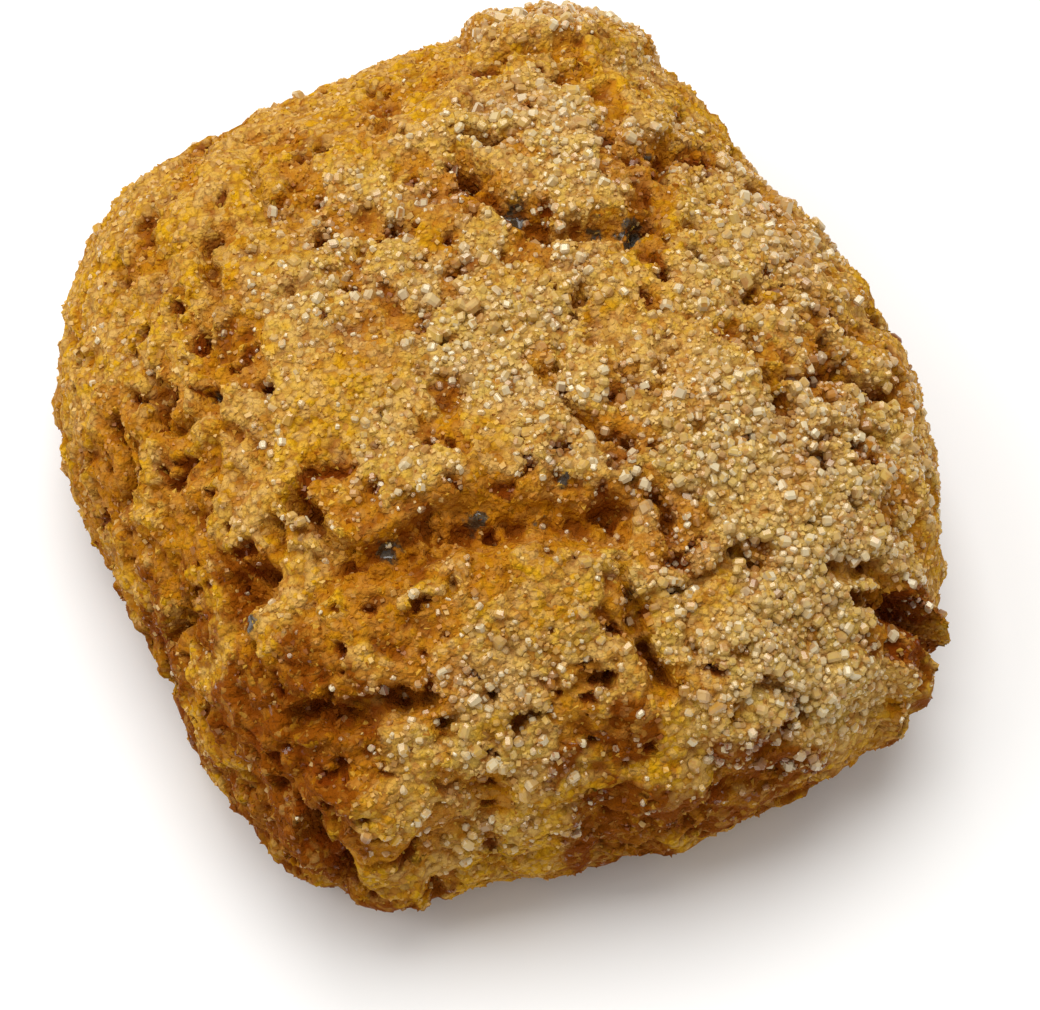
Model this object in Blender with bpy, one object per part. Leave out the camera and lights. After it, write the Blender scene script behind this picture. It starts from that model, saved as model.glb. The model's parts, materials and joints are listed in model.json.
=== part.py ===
"""An amaretti cookie: a domed almond biscuit, roughly square in plan, with a crust
that cracked in the oven and sugar crystals baked into it.

Lengths are in millimetres and become metres where a mesh is made. +Z is up, the cookie
rests on z = 0, and its origin is under the middle of its box.
"""

import itertools
import math
import random

import bmesh
import bpy
import numpy as np
from mathutils import Matrix, Vector

MM = 0.001

# Form of the dome. The rim is a circle whose radius rises and falls in a few waves:
# (waves in one turn, height, direction in degrees of one crest). Four waves make it square.
TOP = 16.5
WAIST = 4.0
RIM_RADIUS = 20.0
RIM_WAVES = (
    (2, 1.14, -60.8),
    (3, 0.15, -19.2),
    (4, 1.12, -19.7),
    (5, 0.42, 18.7),
    (6, 0.36, 15.0),
    (7, 0.19, -16.0),
    (8, 0.23, 21.1),
)
MIDDLE = (0.05, -0.5)
DOME_SQUARENESS = 2.5
FOOT_SQUARENESS = 3.4
FOOT_DEPTH = 4.9

# Relief of the crust. Noise of BREAK_SIZE closes the cracks here and there. Those deeper than
# BREAK_DEPTH lose no more than half of their depth to it.
SWELL_SIZE, SWELL_HEIGHT = 10.0, 0.5
LUMP_SIZE, LUMP_HEIGHT = 2.6, 0.34
PLATE_SIZE, PLATE_STEP = 6.0, 0.32
SEAM_WIDTH, SEAM_DEPTH = 0.4, 0.3
RAG_SIZE, RAG_SHIFT = 2.0, 0.65
LIP_HEIGHT, LIP_WIDTH = 0.12, 0.7
BREAK_SIZE, BREAK_DEPTH = 2.2, 1.25
RELIEF_FADES_BELOW, RELIEF_FULL_ABOVE = 0.5, 3.0
OPENS_ABOVE = (1.5, 5.0)

# Cracks that opened while it baked: (half width, depth, route seen from above).
CRACKS = {
    "below_top_plate": (0.65, 0.8, ((-1.3, 8.2), (0.6, 5.9), (2.4, 4.7), (4.3, 5.0), (6.2, 4.8), (7.3, 6.5))),
    "left_of_top_plate": (0.4, 0.5, ((-2.0, 12.0), (-1.7, 9.9), (-1.3, 8.2))),
    "cavity": (0.5, 1.5, ((-0.9, 9.6), (0.2, 9.3))),
    "right_of_top_plate": (0.6, 0.7, ((7.3, 6.5), (7.2, 9.1), (6.3, 11.7))),
    "behind_top_plate": (0.5, 0.6, ((7.2, 9.9), (9.4, 9.8), (12.0, 8.8))),
    "far_ledge": (0.5, 0.6, ((-1.2, 15.1), (1.6, 14.7), (5.2, 15.3))),
    "valley": (
        1.3, 1.15,
        ((-9.8, -11.1), (-7.2, -11.3), (-4.6, -10.9), (-2.0, -9.7), (0.4, -8.8), (3.4, -9.1), (6.5, -8.8)),
    ),
    "valley_arm": (0.6, 1.0, ((-8.2, -7.9), (-6.8, -9.3), (-5.0, -10.5))),
    "valley_end": (0.5, 0.9, ((-9.2, -8.7), (-8.7, -10.5))),
    "crease": (0.5, 1.1, ((6.2, -8.3), (5.8, -10.9), (6.0, -13.1), (7.2, -15.0))),
    "crease_arm": (0.4, 0.6, ((5.9, -12.0), (9.0, -11.5), (10.4, -10.3))),
    "middle": (0.4, 0.6, ((4.2, 1.7), (3.4, -1.1), (2.3, -3.1), (3.4, -4.3), (5.0, -5.3))),
    "pocket": (0.6, 1.1, ((9.9, 0.8), (8.6, 0.2), (7.7, -1.0), (7.0, -2.1))),
    "right": (0.5, 1.3, ((12.1, -1.7), (13.6, -1.9), (14.8, -0.7), (17.2, -1.1))),
    "right_arm": (0.4, 0.7, ((12.2, -0.2), (13.3, -1.4))),
    "right_rim": (0.5, 1.0, ((16.3, -3.7), (17.5, -4.0), (19.0, -5.1))),
    "deep": (0.7, 2.6, ((16.0, -10.8), (17.6, -10.4), (19.0, -10.6), (21.0, -10.5))),
    "deep_arm": (0.5, 1.3, ((14.4, -9.9), (16.4, -9.1), (17.6, -10.1))),
    "lower_right": (0.4, 0.8, ((10.2, -10.1), (11.2, -10.7), (12.6, -10.8))),
    "right_foot": (0.4, 0.8, ((10.2, -15.9), (11.8, -14.7), (13.0, -15.1))),
    "left": (0.45, 0.6, ((-12.2, 4.7), (-12.1, 1.3), (-12.4, -0.9), (-11.9, -3.7))),
    "left_arm": (0.4, 0.7, ((-14.9, -0.9), (-14.3, -2.9), (-12.6, -4.0))),
    "left_rim": (0.45, 1.0, ((-16.6, -2.1), (-16.3, -3.9), (-16.1, -5.3))),
    "left_foot": (0.5, 0.9, ((-11.4, -7.0), (-10.2, -6.4), (-8.9, -6.6))),
    "left_corner": (0.5, 1.0, ((-14.9, -11.4), (-13.0, -10.6))),
    "foot_fold": (0.55, 1.5, ((-8.2, -17.0), (-5.6, -16.8), (-4.2, -16.5), (-2.7, -16.0))),
    "foot_line": (0.35, 0.8, ((0.0, -17.5), (1.9, -16.4), (3.2, -15.5), (4.8, -15.2))),
    "corner_fold": (0.6, 1.0, ((-8.0, -20.1), (-5.4, -21.1), (-2.6, -20.7))),
}

# Parts of the crust that stand higher, or lower where the rise is negative:
# (middle, half length, half width, turn in degrees, rise).
PLATES = {
    "top_plate": ((2.7, 10.4), 5.8, 4.7, 100, 0.4),
    "far_rim": ((3.1, 18.1), 4.7, 3.6, -10, 1.1),
    "right_shoulder": ((12.4, -6.1), 5.0, 4.0, -50, 0.35),
    "lower_right_plate": ((12.6, -13.5), 5.0, 3.0, 20, 0.35),
    "bald_corner": ((-8.6, -17.9), 4.2, 1.9, -55, -0.4),
    "near_corner": ((-5.9, -21.1), 3.2, 2.4, -10, 0.8),
    "right_corner": ((19.4, -12.5), 3.4, 2.6, 65, 1.0),
    "right_bulge": ((18.9, 0.4), 3.4, 2.4, 85, 0.3),
}
PLATE_EDGE = 0.14

# Baking bubbles that broke through: how many, and the range of their radii.
PORES = 46
PORE_RADII = (0.3, 0.65)
PORE_DEPTH = 0.7

# Sugar. The patches are (middle, radius, share of the crystals).
CRYSTALS = 105
CRYSTAL_SIZES = (0.75, 1.05)
CRYSTAL_SUNK = 0.42
CRYSTAL_GAP = 1.25
SUGAR_PATCHES = (
    ((13.0, -6.0), 6.0, 0.27),
    ((12.5, -13.0), 4.6, 0.21),
    ((2.6, 10.1), 4.4, 0.13),
    ((0.0, -0.5), 8.0, 0.15),
    ((0.5, -17.5), 5.0, 0.12),
    ((11.0, 3.5), 5.0, 0.12),
)

BALL_DIVISIONS = 7
BODY_TRIANGLES = 7200
FLAT_BELOW = 0.12
SEED = 5


def blend(low, high, value):
    """0 below low, 1 above high, and a smooth step between."""
    share = np.clip((value - low) / (high - low), 0, 1)
    return share * share * (3 - 2 * share)


def lattice(corner, seed):
    """A repeatable number from 0 to 1 for each whole-number corner."""
    x, y, z = corner.T
    mixed = (x * 73856093) ^ (y * 19349663) ^ (z * 83492791) ^ (seed * 26544357)
    mixed = ((mixed ^ (mixed >> 13)) & 0xFFFFFFFF) * 1274126177 & 0xFFFFFFFF
    mixed = ((mixed ^ (mixed >> 15)) & 0xFFFFFFFF) * 1103515245 & 0xFFFFFFFF
    return ((mixed ^ (mixed >> 16)) & 0xFFFFFF) / 0xFFFFFF


def noise(points, size, seed):
    """Smooth noise from -1 to 1, with bumps about one size across."""
    scaled = points / size
    cell = np.floor(scaled).astype(np.int64)
    share = scaled - cell
    share = share**3 * (share * (share * 6 - 15) + 10)
    total = np.zeros(len(points))
    for corner in itertools.product((0, 1), repeat=3):
        weight = np.prod(np.where(corner, share, 1 - share), axis=1)
        total += weight * lattice(cell + corner, seed)
    return 2 * total - 1


def layered_noise(points, size, seed, layers=3):
    """Noise with finer and weaker noise on top of it."""
    total = sum(noise(points, size / 2**n, seed + n) / 2**n for n in range(layers))
    return total / sum(1 / 2**n for n in range(layers))


def cells(points, size, seed):
    """How far each point is from the border between crust plates, and its own plate's number."""
    scaled = points / size
    home = np.floor(scaled).astype(np.int64)
    nearest = np.full(len(points), np.inf)
    second = nearest.copy()
    number = np.zeros(len(points))
    for step in itertools.product((-1, 0, 1), repeat=3):
        corner = home + step
        seat = corner + np.stack([lattice(corner, seed + k) for k in range(3)], axis=1)
        distance = np.linalg.norm(scaled - seat, axis=1)
        closer = distance < nearest
        second = np.where(closer, nearest, np.minimum(second, distance))
        number = np.where(closer, lattice(corner, seed + 3), number)
        nearest = np.where(closer, distance, nearest)
    return (second - nearest) * size / 2, number


def rim_radius(angle):
    waves = (rise * np.cos(n * (angle - math.radians(crest))) for n, rise, crest in RIM_WAVES)
    return RIM_RADIUS + sum(waves)


def fullness(points):
    """1 on the smooth dome, less inside it and more outside."""
    flat = np.hypot(points[:, 0], points[:, 1])
    reach = flat / rim_radius(np.arctan2(points[:, 1], points[:, 0]))
    above = points[:, 2] > 0
    rise = np.where(above, points[:, 2] / (TOP - WAIST), -points[:, 2] / FOOT_DEPTH)
    power = np.where(above, DOME_SQUARENESS, FOOT_SQUARENESS)
    return (reach**power + rise**power) ** (1 / power)


def outward(points):
    """Unit normals of the smooth dome."""
    nudge = 0.01
    slopes = [fullness(points + nudge * axis) - fullness(points - nudge * axis) for axis in np.eye(3)]
    normals = np.stack(slopes, axis=1)
    return normals / np.linalg.norm(normals, axis=1, keepdims=True)


def distance_to_route(flat, route):
    """Distance from points in plan to the nearest stretch of a route."""
    nearest = np.full(len(flat), np.inf)
    for start, end in itertools.pairwise(np.array(route)):
        along = end - start
        share = np.clip((flat - start) @ along / (along @ along), 0, 1)
        gap = np.linalg.norm(flat - start - share[:, None] * along, axis=1)
        nearest = np.minimum(nearest, gap)
    return nearest


def inside_plate(flat, middle, half_length, half_width, turn):
    """1 well inside an oval seen from above, and 0 outside it."""
    angle = math.radians(turn)
    offset = flat - np.array(middle)
    along = offset @ (math.cos(angle), math.sin(angle))
    across = offset @ (-math.sin(angle), math.cos(angle))
    reach = np.hypot(along / half_length, across / half_width)
    return 1 - blend(1 - PLATE_EDGE, 1 + PLATE_EDGE, reach)


def pore_seats():
    """Where the bubbles broke the upper crust, and how wide they are."""
    rng = random.Random(SEED)
    for _ in range(PORES):
        angle = rng.uniform(0, 2 * math.pi)
        reach = 17.5 * math.sqrt(rng.random())
        yield (reach * math.cos(angle), reach * math.sin(angle)), rng.uniform(*PORE_RADII)


def relief(points):
    """How far the crust stands out from the smooth dome, or in where it is cracked."""
    ragged = points + RAG_SHIFT * np.stack(
        [layered_noise(points, RAG_SIZE, SEED + 10 * k, 2) for k in (1, 2, 3)], axis=1
    )
    height = SWELL_HEIGHT * layered_noise(points, SWELL_SIZE, SEED)
    height += LUMP_HEIGHT * layered_noise(points, LUMP_SIZE, SEED + 4)
    border, number = cells(ragged, PLATE_SIZE, SEED + 60)
    height += PLATE_STEP * (number - 0.5) * blend(0, 0.5, border)
    seam = (1 - blend(0, SEAM_WIDTH, border)) * blend(-0.2, 0.5, noise(points, 7.0, SEED + 70))
    height -= SEAM_DEPTH * seam

    flat = ragged[:, :2]
    opened = np.zeros(len(points))
    lip = np.zeros(len(points))
    whole = blend(-0.45, 0.05, noise(points, BREAK_SIZE, SEED + 80))
    for half_width, depth, route in CRACKS.values():
        gap = distance_to_route(flat, route)
        depth *= whole if depth < BREAK_DEPTH else 0.5 + 0.5 * whole
        opened = np.maximum(opened, depth * (1 - blend(0.45 * half_width, 1.1 * half_width, gap)))
        lip = np.maximum(lip, LIP_HEIGHT * np.exp(-(((gap - 1.8 * half_width) / LIP_WIDTH) ** 2)))
    for seat, radius in pore_seats():
        gap = np.linalg.norm(flat - seat, axis=1)
        opened = np.maximum(opened, PORE_DEPTH * (1 - blend(0.4 * radius, 1.1 * radius, gap)))
    upper = blend(*OPENS_ABOVE, points[:, 2])
    height += upper * (lip - opened)
    for middle, half_length, half_width, turn, rise in PLATES.values():
        height += upper * rise * inside_plate(flat, middle, half_length, half_width, turn)
    return height


def crust_points(rays):
    """Points of the crust, one along each ray from the middle of the waist."""
    smooth = rays / fullness(rays)[:, None]
    normals = outward(smooth)
    smooth += (*MIDDLE, WAIST)
    fade = blend(RELIEF_FADES_BELOW, RELIEF_FULL_ABOVE, smooth[:, 2])
    points = smooth + normals * (relief(smooth) * fade)[:, None]
    points[:, 2] = np.maximum(points[:, 2], 0)
    return points


def make_material():
    material = bpy.data.materials.new("sugared_crust")
    material.use_nodes = True
    shader = material.node_tree.nodes["Principled BSDF"]
    shader.inputs["Base Color"].default_value = (0.42, 0.20, 0.035, 1)
    shader.inputs["Roughness"].default_value = 0.75
    shader.inputs["Metallic"].default_value = 0
    return material


def make_body():
    """The cookie without its larger crystals: a ball pushed out to the crust, with few triangles."""
    ball = bmesh.new()
    bmesh.ops.create_icosphere(ball, subdivisions=BALL_DIVISIONS, radius=1)
    rays = np.array([vertex.co for vertex in ball.verts])
    for vertex, point in zip(ball.verts, crust_points(rays) * MM):
        vertex.co = point
    dense_triangles = len(ball.faces)
    mesh = bpy.data.meshes.new("cookie")
    ball.to_mesh(mesh)
    ball.free()
    body = bpy.data.objects.new("cookie", mesh)
    bpy.context.scene.collection.objects.link(body)
    fewer = body.modifiers.new("fewer triangles", "DECIMATE")
    fewer.ratio = BODY_TRIANGLES / dense_triangles
    apply_modifiers(body)
    for vertex in body.data.vertices:
        if vertex.co.z < FLAT_BELOW * MM:
            vertex.co.z = 0
    return body


def apply_modifiers(body):
    """Puts what the modifiers make into the object's own mesh."""
    graph = bpy.context.evaluated_depsgraph_get()
    made = bpy.data.meshes.new_from_object(body.evaluated_get(graph))
    body.modifiers.clear()
    body.data = made


def crystal_seats(body, rng):
    """Spread-out places on the upper crust, more of them where the sugar lies thick."""
    weights = [share for _, _, share in SUGAR_PATCHES]
    taken = []
    while len(taken) < CRYSTALS:
        middle, radius, _ = rng.choices(SUGAR_PATCHES, weights)[0]
        x, y = (rng.gauss(centre, radius / 2) for centre in middle)
        above = Vector((x, y, 2 * TOP)) * MM
        hit, place, normal, _ = body.ray_cast(above, Vector((0, 0, -1)))
        if not hit or normal.z < 0.35:
            continue
        if all((place - other).length > CRYSTAL_GAP * MM for other, _ in taken):
            taken.append((place, normal))
    return taken


def make_crystals(body):
    """Blocky sugar crystals, sunk into the crust, in a collection of their own."""
    rng = random.Random(SEED)
    heap = bpy.data.collections.new("crystals")
    bpy.context.scene.collection.children.link(heap)
    for place, normal in crystal_seats(body, rng):
        size = CRYSTAL_SIZES[0] + (CRYSTAL_SIZES[1] - CRYSTAL_SIZES[0]) * rng.random() ** 2
        block = bmesh.new()
        bmesh.ops.create_cube(block, size=1)
        for vertex in block.verts:
            vertex.co = Vector(c * rng.uniform(0.78, 1.0) for c in vertex.co)
        stretch = Vector((rng.uniform(0.75, 1.2), rng.uniform(0.6, 0.9), rng.uniform(0.6, 0.85)))
        block.transform(Matrix.Diagonal((*(size * MM * stretch), 1)))
        spin = Matrix.Rotation(rng.uniform(0, math.tau), 4, "Z") @ Matrix.Rotation(rng.uniform(-0.6, 0.6), 4, "X")
        upright = normal.to_track_quat("Z", "Y").to_matrix().to_4x4()
        raised = place + normal * size * MM * (0.5 - CRYSTAL_SUNK) * stretch.z
        block.transform(Matrix.Translation(raised) @ upright @ spin)
        bmesh.ops.triangulate(block, faces=block.faces)
        mesh = bpy.data.meshes.new("crystal")
        block.to_mesh(mesh)
        block.free()
        heap.objects.link(bpy.data.objects.new("crystal", mesh))
    return heap


def fuse(body, heap):
    """Joins the crystals to the body as one solid and removes their own objects."""
    union = body.modifiers.new("crystals", "BOOLEAN")
    union.operation = "UNION"
    union.operand_type = "COLLECTION"
    union.collection = heap
    apply_modifiers(body)
    for crystal in list(heap.objects):
        bpy.data.objects.remove(crystal)
    bpy.data.collections.remove(heap)


def fill_hollows(body):
    """Keeps the outer surface alone: a crystal over a dip can close off a small hollow."""
    skin = bmesh.new()
    skin.from_mesh(body.data)
    unseen = set(skin.verts)
    shells = []
    while unseen:
        shell = [unseen.pop()]
        for vertex in shell:
            for edge in vertex.link_edges:
                other = edge.other_vert(vertex)
                if other in unseen:
                    unseen.remove(other)
                    shell.append(other)
        shells.append(shell)
    shells.sort(key=len)
    for shell in shells[:-1]:
        bmesh.ops.delete(skin, geom=shell, context="VERTS")
    skin.to_mesh(body.data)
    skin.free()


def main():
    for old in list(bpy.data.objects):
        bpy.data.objects.remove(old)
    body = make_body()
    fuse(body, make_crystals(body))
    fill_hollows(body)
    body.data.materials.clear()
    body.data.materials.append(make_material())


main()
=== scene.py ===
# %% [markdown]
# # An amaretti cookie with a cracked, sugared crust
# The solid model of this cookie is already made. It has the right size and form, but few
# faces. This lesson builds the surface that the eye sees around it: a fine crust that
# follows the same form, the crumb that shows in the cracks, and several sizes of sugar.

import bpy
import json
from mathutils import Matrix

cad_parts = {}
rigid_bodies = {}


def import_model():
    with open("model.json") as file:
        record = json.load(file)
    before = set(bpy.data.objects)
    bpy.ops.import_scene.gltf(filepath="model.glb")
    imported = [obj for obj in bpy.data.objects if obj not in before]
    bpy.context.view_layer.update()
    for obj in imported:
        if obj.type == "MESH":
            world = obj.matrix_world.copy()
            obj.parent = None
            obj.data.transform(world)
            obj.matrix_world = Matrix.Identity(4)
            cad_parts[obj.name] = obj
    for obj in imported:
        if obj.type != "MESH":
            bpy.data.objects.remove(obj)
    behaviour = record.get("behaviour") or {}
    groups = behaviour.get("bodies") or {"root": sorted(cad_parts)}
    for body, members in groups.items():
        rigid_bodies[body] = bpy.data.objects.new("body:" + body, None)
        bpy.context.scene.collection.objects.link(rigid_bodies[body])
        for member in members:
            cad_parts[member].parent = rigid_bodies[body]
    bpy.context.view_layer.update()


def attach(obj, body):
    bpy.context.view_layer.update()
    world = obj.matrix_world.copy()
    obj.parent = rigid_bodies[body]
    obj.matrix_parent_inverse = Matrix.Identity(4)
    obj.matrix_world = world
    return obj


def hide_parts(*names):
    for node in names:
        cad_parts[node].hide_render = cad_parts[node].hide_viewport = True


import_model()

# %% [markdown]
# ## Units and tools
# The formulas below are in millimetres, which suit a cookie, and are turned into metres only
# where a mesh is made. numpy works on all points of the surface at once, which is what makes
# a hundred thousand of them quick enough.

# %% Imports and units
import itertools
import json
import math
import random

import bmesh
import bpy
import numpy as np
from mathutils import Vector

MM = 0.001
SEED = 5

# %% [markdown]
# ## Noise to shape the crust with
# Dough that spreads and dries has bumps of every size. They could be painted with a texture,
# but a real surface casts shadows on itself, so here noise moves the points of the mesh. The
# noise is a lattice of repeatable random numbers, blended between the corners of each cell.


# %% Smooth noise
def blend(low, high, value):
    """0 below low, 1 above high, and a smooth step between."""
    share = np.clip((value - low) / (high - low), 0, 1)
    return share * share * (3 - 2 * share)


def lattice(corner, seed):
    """A repeatable number from 0 to 1 for each whole-number corner."""
    x, y, z = corner.T
    mixed = (x * 73856093) ^ (y * 19349663) ^ (z * 83492791) ^ (seed * 26544357)
    mixed = ((mixed ^ (mixed >> 13)) & 0xFFFFFFFF) * 1274126177 & 0xFFFFFFFF
    mixed = ((mixed ^ (mixed >> 15)) & 0xFFFFFFFF) * 1103515245 & 0xFFFFFFFF
    return ((mixed ^ (mixed >> 16)) & 0xFFFFFF) / 0xFFFFFF


def noise(points, size, seed):
    """Smooth noise from -1 to 1, with bumps about one size across."""
    scaled = points / size
    cell = np.floor(scaled).astype(np.int64)
    share = scaled - cell
    share = share**3 * (share * (share * 6 - 15) + 10)
    total = np.zeros(len(points))
    for corner in itertools.product((0, 1), repeat=3):
        weight = np.prod(np.where(corner, share, 1 - share), axis=1)
        total += weight * lattice(cell + corner, seed)
    return 2 * total - 1


def layered_noise(points, size, seed, layers=3):
    """Noise with finer and weaker noise on top of it."""
    total = sum(noise(points, size / 2**n, seed + n) / 2**n for n in range(layers))
    return total / sum(1 / 2**n for n in range(layers))


def noise_vectors(points, size, seed, layers=1):
    """Three noises at once, to push points about in every direction."""
    return np.stack([layered_noise(points, size, seed + 10 * k, layers) for k in (1, 2, 3)], axis=1)


# %% [markdown]
# Cells are the other kind of noise. Each point finds the nearest of many scattered seats. The
# borders between cells make the seams between crust plates, and the distance to the seat
# makes round things: grains that stand out and pores that go in.


# %% Cells
def cells(points, size, seed):
    """Distance to the border with the next cell, distance to the own seat, and the cell's number."""
    scaled = points / size
    home = np.floor(scaled).astype(np.int64)
    nearest = np.full(len(points), np.inf)
    second = nearest.copy()
    number = np.zeros(len(points))
    for step in itertools.product((-1, 0, 1), repeat=3):
        corner = home + step
        seat = corner + np.stack([lattice(corner, seed + k) for k in range(3)], axis=1)
        distance = np.linalg.norm(scaled - seat, axis=1)
        closer = distance < nearest
        second = np.where(closer, nearest, np.minimum(second, distance))
        number = np.where(closer, lattice(corner, seed + 3), number)
        nearest = np.where(closer, distance, nearest)
    return (second - nearest) * size / 2, nearest * size, number


# %% [markdown]
# ## The dome
# The ball of dough sank into a dome on the baking sheet. Its outline is a circle with a few
# waves in it, and four waves make it squarish. From the waist up it is a rounded dome, from
# the waist down it turns under and ends on the flat base. The formula says how full the dome
# is at any point, so a ray from the middle of the waist meets the surface after one division.

# %% Form of the dome
TOP = 16.5
WAIST = 4.0
RIM_RADIUS = 20.0
# Waves round the outline: how many, their height, and where one of them crests, in degrees.
RIM_WAVES = (
    (2, 1.14, -60.8),
    (3, 0.15, -19.2),
    (4, 1.12, -19.7),
    (5, 0.42, 18.7),
    (6, 0.36, 15.0),
    (7, 0.19, -16.0),
    (8, 0.23, 21.1),
)
MIDDLE = (0.05, -0.5)
DOME_SQUARENESS = 2.5
FOOT_SQUARENESS = 3.4
FOOT_DEPTH = 4.9


def rim_radius(angle):
    waves = (rise * np.cos(n * (angle - math.radians(crest))) for n, rise, crest in RIM_WAVES)
    return RIM_RADIUS + sum(waves)


def fullness(points):
    """1 on the smooth dome, less inside it and more outside."""
    flat = np.hypot(points[:, 0], points[:, 1])
    reach = flat / rim_radius(np.arctan2(points[:, 1], points[:, 0]))
    above = points[:, 2] > 0
    rise = np.where(above, points[:, 2] / (TOP - WAIST), -points[:, 2] / FOOT_DEPTH)
    power = np.where(above, DOME_SQUARENESS, FOOT_SQUARENESS)
    return (reach**power + rise**power) ** (1 / power)


def outward(points):
    """Unit normals of the smooth dome."""
    nudge = 0.01
    slopes = [
        fullness(points + nudge * axis) - fullness(points - nudge * axis) for axis in np.eye(3)
    ]
    normals = np.stack(slopes, axis=1)
    return normals / np.linalg.norm(normals, axis=1, keepdims=True)


print("outline radius:", round(float(rim_radius(0.0)), 1), "mm at +X")

# %% [markdown]
# ## Cracks and plates
# As the outside dries before the inside has finished rising, the crust splits into plates. The
# large cracks and raised plates are listed one by one, each as a short route or an oval seen
# from above, because they give this cookie its own face. Noise bends their edges afterwards.

# %% Where the crust cracked
# Each crack: half its width, its depth, and its route as seen from above.
CRACKS = {
    "below_top_plate": (
        0.65, 0.8,
        ((-1.3, 8.2), (0.6, 5.9), (2.4, 4.7), (4.3, 5.0), (6.2, 4.8), (7.3, 6.5)),
    ),
    "left_of_top_plate": (0.4, 0.5, ((-2.0, 12.0), (-1.7, 9.9), (-1.3, 8.2))),
    "cavity": (0.5, 1.5, ((-0.9, 9.6), (0.2, 9.3))),
    "right_of_top_plate": (0.6, 0.7, ((7.3, 6.5), (7.2, 9.1), (6.3, 11.7))),
    "behind_top_plate": (0.5, 0.6, ((7.2, 9.9), (9.4, 9.8), (12.0, 8.8))),
    "far_ledge": (0.5, 0.6, ((-1.2, 15.1), (1.6, 14.7), (5.2, 15.3))),
    "valley": (
        1.3, 1.15,
        (
            (-9.8, -11.1), (-7.2, -11.3), (-4.6, -10.9), (-2.0, -9.7),
            (0.4, -8.8), (3.4, -9.1), (6.5, -8.8),
        ),
    ),
    "valley_arm": (0.6, 1.0, ((-8.2, -7.9), (-6.8, -9.3), (-5.0, -10.5))),
    "valley_end": (0.5, 0.9, ((-9.2, -8.7), (-8.7, -10.5))),
    "crease": (0.5, 1.1, ((6.2, -8.3), (5.8, -10.9), (6.0, -13.1), (7.2, -15.0))),
    "crease_arm": (0.4, 0.6, ((5.9, -12.0), (9.0, -11.5), (10.4, -10.3))),
    "middle": (0.4, 0.6, ((4.2, 1.7), (3.4, -1.1), (2.3, -3.1), (3.4, -4.3), (5.0, -5.3))),
    "pocket": (0.6, 1.1, ((9.9, 0.8), (8.6, 0.2), (7.7, -1.0), (7.0, -2.1))),
    "right": (0.5, 1.3, ((12.1, -1.7), (13.6, -1.9), (14.8, -0.7), (17.2, -1.1))),
    "right_arm": (0.4, 0.7, ((12.2, -0.2), (13.3, -1.4))),
    "right_rim": (0.5, 1.0, ((16.3, -3.7), (17.5, -4.0), (19.0, -5.1))),
    "deep": (0.7, 2.6, ((16.0, -10.8), (17.6, -10.4), (19.0, -10.6), (21.0, -10.5))),
    "deep_arm": (0.5, 1.3, ((14.4, -9.9), (16.4, -9.1), (17.6, -10.1))),
    "lower_right": (0.4, 0.8, ((10.2, -10.1), (11.2, -10.7), (12.6, -10.8))),
    "right_foot": (0.4, 0.8, ((10.2, -15.9), (11.8, -14.7), (13.0, -15.1))),
    "left": (0.45, 0.6, ((-12.2, 4.7), (-12.1, 1.3), (-12.4, -0.9), (-11.9, -3.7))),
    "left_arm": (0.4, 0.7, ((-14.9, -0.9), (-14.3, -2.9), (-12.6, -4.0))),
    "left_rim": (0.45, 1.0, ((-16.6, -2.1), (-16.3, -3.9), (-16.1, -5.3))),
    "left_foot": (0.5, 0.9, ((-11.4, -7.0), (-10.2, -6.4), (-8.9, -6.6))),
    "left_corner": (0.5, 1.0, ((-14.9, -11.4), (-13.0, -10.6))),
    "foot_fold": (0.55, 1.5, ((-8.2, -17.0), (-5.6, -16.8), (-4.2, -16.5), (-2.7, -16.0))),
    "foot_line": (0.35, 0.8, ((0.0, -17.5), (1.9, -16.4), (3.2, -15.5), (4.8, -15.2))),
    "corner_fold": (0.6, 1.0, ((-8.0, -20.1), (-5.4, -21.1), (-2.6, -20.7))),
}
# Each plate: its middle, half its length, half its width, its turn in degrees, and its rise.
PLATES = {
    "top_plate": ((2.7, 10.4), 5.8, 4.7, 100, 0.4),
    "far_rim": ((3.0, 18.1), 4.1, 3.6, -10, 1.1),
    "right_shoulder": ((12.4, -6.1), 5.0, 4.0, -50, 0.35),
    "lower_right_plate": ((12.6, -13.5), 5.0, 3.0, 20, 0.35),
    "bald_corner": ((-8.6, -17.9), 4.2, 1.9, -55, -0.4),
    "near_corner": ((-5.9, -21.1), 3.2, 2.4, -10, 0.8),
    "right_corner": ((19.4, -12.5), 3.4, 2.6, 65, 1.0),
    "right_bulge": ((18.9, 0.4), 3.4, 2.4, 85, 0.3),
}
PLATE_EDGE = 0.14


def distance_to_route(flat, route):
    """Distance from points in plan to the nearest stretch of a route."""
    nearest = np.full(len(flat), np.inf)
    for start, end in itertools.pairwise(np.array(route)):
        along = end - start
        share = np.clip((flat - start) @ along / (along @ along), 0, 1)
        gap = np.linalg.norm(flat - start - share[:, None] * along, axis=1)
        nearest = np.minimum(nearest, gap)
    return nearest


def inside_plate(flat, middle, half_length, half_width, turn):
    """1 well inside an oval seen from above, and 0 outside it."""
    angle = math.radians(turn)
    offset = flat - np.array(middle)
    along = offset @ (math.cos(angle), math.sin(angle))
    across = offset @ (-math.sin(angle), math.cos(angle))
    reach = np.hypot(along / half_length, across / half_width)
    return 1 - blend(1 - PLATE_EDGE, 1 + PLATE_EDGE, reach)


print(len(CRACKS), "cracks and", len(PLATES), "plates")

# %% [markdown]
# The large relief follows the solid model's, with finer and more ragged edges: a slow swell,
# lumps, plates of slightly different height with seams between them, the cracks with their
# curled lips, and bubbles that broke through. The function also returns how open the crust is
# and how torn it is beside the cracks. Skin and colour depend on both later, because baked
# crumb is darker and more orange than the skin.

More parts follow.
